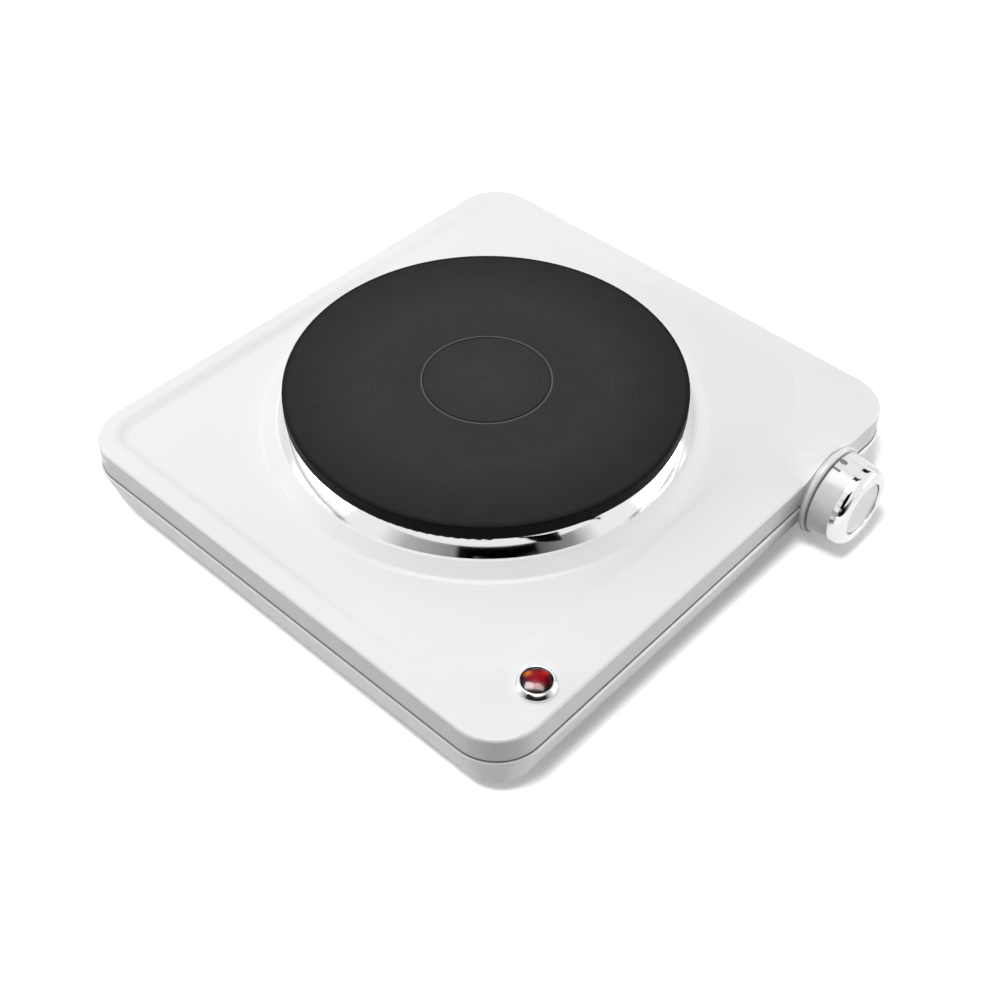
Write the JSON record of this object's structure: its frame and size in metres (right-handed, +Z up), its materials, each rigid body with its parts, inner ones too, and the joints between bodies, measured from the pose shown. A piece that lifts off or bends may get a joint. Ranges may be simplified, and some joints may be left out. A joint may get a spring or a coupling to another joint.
{
  "type": "hot plate burner",
  "caption": "Free-standing electric hot plate: round cast plate on a pressed tray cover, with a front knob and a pilot lamp.",
  "frame": {"origin": "on the table under the middle of the part's outline, knob and gland counted in", "axes": "+Z up, -Y the front with the knob, +X to the right seen from the front"},
  "size_m": [0.2782, 0.2854, 0.0655],
  "materials": {
    "cover_enamel": "smooth white enamel",
    "pan_enamel": "smooth white enamel",
    "cast_iron": "turned and black coated",
    "bright_ring": "polished",
    "knob_plastic": "satin pale grey",
    "collar_plastic": "glossy white",
    "cap_grey": "matte grey",
    "lens_red": "clear deep red",
    "foot_rubber": "matte black",
    "plated_steel": "zinc plated",
    "ceramic": "unglazed",
    "brass": "plain",
    "coil_alloy": "oxidised",
    "wire_sleeve": "matte",
    "lamp_plastic": "translucent white",
    "bulb_glass": "clear"
  },
  "bodies": {
    "base": {"bottom_pan": "pan_enamel", "channel_filler": "ceramic", "clamp_bar": "plated_steel", "clamp_nut": "plated_steel", "clamp_washer": "plated_steel", "cord_gland": "foot_rubber", "fixing_screws": "plated_steel", "foot_back_left": "foot_rubber", "foot_back_right": "foot_rubber", "foot_front_left": "foot_rubber", "foot_front_right": "foot_rubber", "foot_screws": "plated_steel", "heating_coils": "coil_alloy", "heating_plate": "cast_iron", "knob_collar": "collar_plastic", "lamp_bezel": "bright_ring", "lamp_body": "lamp_plastic", "lamp_bulb": "bulb_glass", "lamp_clip": "plated_steel", "lamp_lens": "lens_red", "link_wires": "wire_sleeve", "plate_busbars": "brass", "plate_cover": "plated_steel", "plate_insulator": "ceramic", "plate_stud": "plated_steel", "post_back_left": "plated_steel", "post_back_right": "plated_steel", "post_front_left": "plated_steel", "post_front_right": "plated_steel", "spill_ring": "bright_ring", "terminal_block": "ceramic", "terminal_clamps": "brass", "thermostat_body": "ceramic", "thermostat_bracket": "plated_steel", "thermostat_bush": "brass", "thermostat_nut": "brass", "thermostat_tabs": "brass", "top_cover": "cover_enamel"},
    "knob": {"knob_body": "knob_plastic", "knob_trim_ring": "bright_ring", "knob_cap": "cap_grey", "thermostat_spindle": "plated_steel"}
  },
  "joints": [
    {"name": "knob_turn", "type": "hinge", "parent": "base", "child": "knob", "pos_m": [0.079, -0.13275, 0.0315], "axis": [0, 1, 0], "range_deg": [0, 270]}
  ]
}
